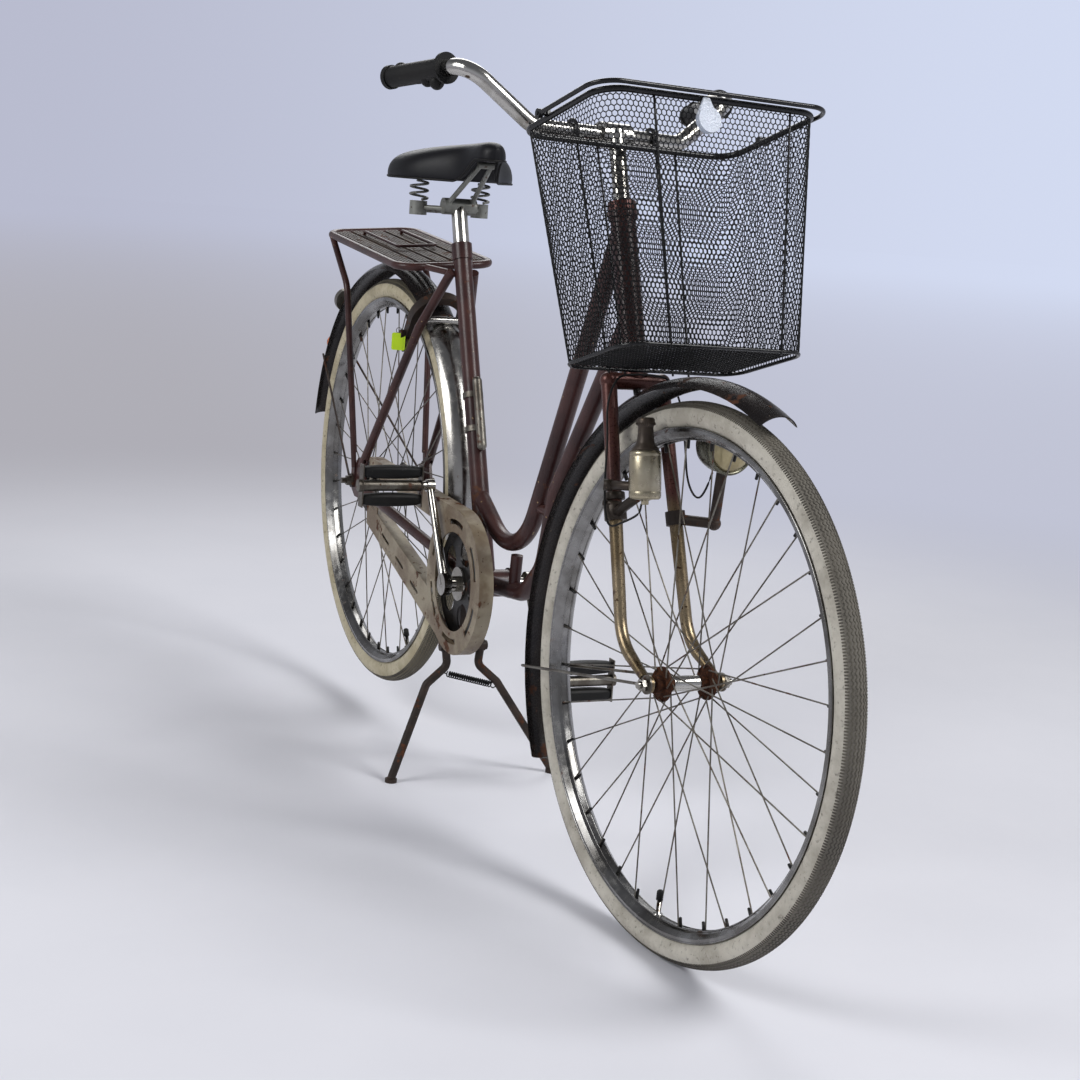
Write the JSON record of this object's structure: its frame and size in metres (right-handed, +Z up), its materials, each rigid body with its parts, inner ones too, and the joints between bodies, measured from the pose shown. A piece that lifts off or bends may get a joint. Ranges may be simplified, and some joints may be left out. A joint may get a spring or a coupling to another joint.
{
  "type": "step-through roadster bicycle",
  "caption": "Weathered step-through bicycle on its centre stand, with front basket, rear rack, chain guard, bottle dynamo lamp, turning wheels, steering, cranks and folding stand.",
  "frame": {"origin": "on the ground, under the middle of the bounding box", "axes": "+X forwards, +Y the rider's left, +Z up"},
  "size_m": [1.851, 0.5103, 1.1041],
  "materials": {
    "frame_paint": "worn dark maroon paint, dusty, with rust at the joints",
    "fork_paint": "worn pinkish maroon paint over steel, lower ends of tarnished chrome",
    "dark_steel": "dark rusty steel",
    "tarnished_steel": "bare steel with brown staining",
    "chrome": "dull chrome with pitting",
    "rusty_guard": "beige paint with a rusty brown edge",
    "mudguard": "dark weathered paint with rust",
    "tyre_rear": "yellowed wall, worn tread",
    "tyre_front": "cream wall, dusty tread",
    "black_rubber": "dusty",
    "saddle_black": "worn vinyl",
    "black_wire": "black coated wire",
    "black_mesh": "black coated expanded mesh",
    "amber": "faded amber",
    "clear_plastic": "clear pale plastic",
    "tag_yellow": "yellow-green",
    "lamp_shell": "dull gold-grey metal",
    "pedal_metal": "tarnished",
    "wire_black": "black cable"
  },
  "bodies": {
    "frame": {"head_tube": "frame_paint", "seat_tube": "frame_paint", "upper_tube": "frame_paint", "lower_tube": "frame_paint", "bottom_bracket_shell": "frame_paint", "chainstay_left": "frame_paint", "chainstay_right": "frame_paint", "seat_stay_left": "frame_paint", "seat_stay_right": "frame_paint", "seat_post": "chrome", "saddle_cover": "saddle_black", "saddle_frame": "tarnished_steel", "saddle_springs": "tarnished_steel", "rack_frame": "dark_steel", "rack_slats": "dark_steel", "rear_fender": "mudguard", "rear_fender_stays": "dark_steel", "rear_lamp": "tarnished_steel", "rear_reflector": "amber", "chain_guard": "rusty_guard", "chain": "dark_steel", "ring_lock": "dark_steel", "key_tag": "tag_yellow", "seat_tube_clip": "tarnished_steel", "rear_axle": "tarnished_steel", "stand_bracket": "dark_steel"},
    "steering": {"fork": "fork_paint", "stem": "chrome", "handlebar": "chrome", "grip_left": "black_rubber", "grip_right": "black_rubber", "bell": "chrome", "basket_mesh": "black_mesh", "basket_tray": "black_mesh", "basket_frame": "black_wire", "basket_reflector": "clear_plastic", "front_fender": "mudguard", "front_fender_stays": "tarnished_steel", "front_axle": "chrome", "dynamo": "chrome", "headlamp": "lamp_shell", "headlamp_bracket": "dark_steel", "lamp_wire": "wire_black"},
    "basket_handle": {"basket_handle": "black_wire"},
    "front_wheel": {"front_tyre": "tyre_front", "front_rim": "chrome", "front_hub": "chrome", "front_spokes": "tarnished_steel"},
    "rear_wheel": {"rear_tyre": "tyre_rear", "rear_rim": "chrome", "rear_hub": "tarnished_steel", "rear_spokes": "tarnished_steel"},
    "crankset": {"chainring": "dark_steel", "cranks": "chrome"},
    "left_pedal": {"pedal_left": "pedal_metal", "pedal_blocks_left": "black_rubber"},
    "right_pedal": {"pedal_right": "pedal_metal", "pedal_blocks_right": "black_rubber"},
    "centre_stand": {"stand_legs": "dark_steel", "stand_spring": "dark_steel"}
  },
  "joints": [
    {"name": "steering_turn", "type": "hinge", "parent": "frame", "child": "steering", "pos_m": [0.34868, 0.01816, 0.8], "axis": [-0.342, 0, 0.9397], "range_deg": [-62, 50]},
    {"name": "basket_handle_swing", "type": "hinge", "parent": "steering", "child": "basket_handle", "pos_m": [0.36803, 0.02716, 1.02521], "axis": [0.0884, -0.9956, 0.0322], "range_deg": [0, 100]},
    {"name": "front_wheel_spin", "type": "hinge", "parent": "steering", "child": "front_wheel", "pos_m": [0.57607, 0.02381, 0.34991], "axis": [-0.0884, 0.9956, -0.0322], "continuous": true},
    {"name": "rear_wheel_spin", "type": "hinge", "parent": "frame", "child": "rear_wheel", "pos_m": [-0.55268, 0.01816, 0.41], "axis": [0, 1, 0], "continuous": true},
    {"name": "crank_turn", "type": "hinge", "parent": "frame", "child": "crankset", "pos_m": [-0.07068, 0.01816, 0.333], "axis": [0, 1, 0], "continuous": true},
    {"name": "left_pedal_spin", "type": "hinge", "parent": "crankset", "child": "left_pedal", "pos_m": [0.01809, 0.14816, 0.1963], "axis": [0, 1, 0], "continuous": true},
    {"name": "right_pedal_spin", "type": "hinge", "parent": "crankset", "child": "right_pedal", "pos_m": [-0.15946, -0.11184, 0.4697], "axis": [0, 1, 0], "continuous": true},
    {"name": "stand_fold", "type": "hinge", "parent": "frame", "child": "centre_stand", "pos_m": [-0.15068, 0.01816, 0.214], "axis": [0, 1, 0], "range_deg": [0, 75]}
  ]
}
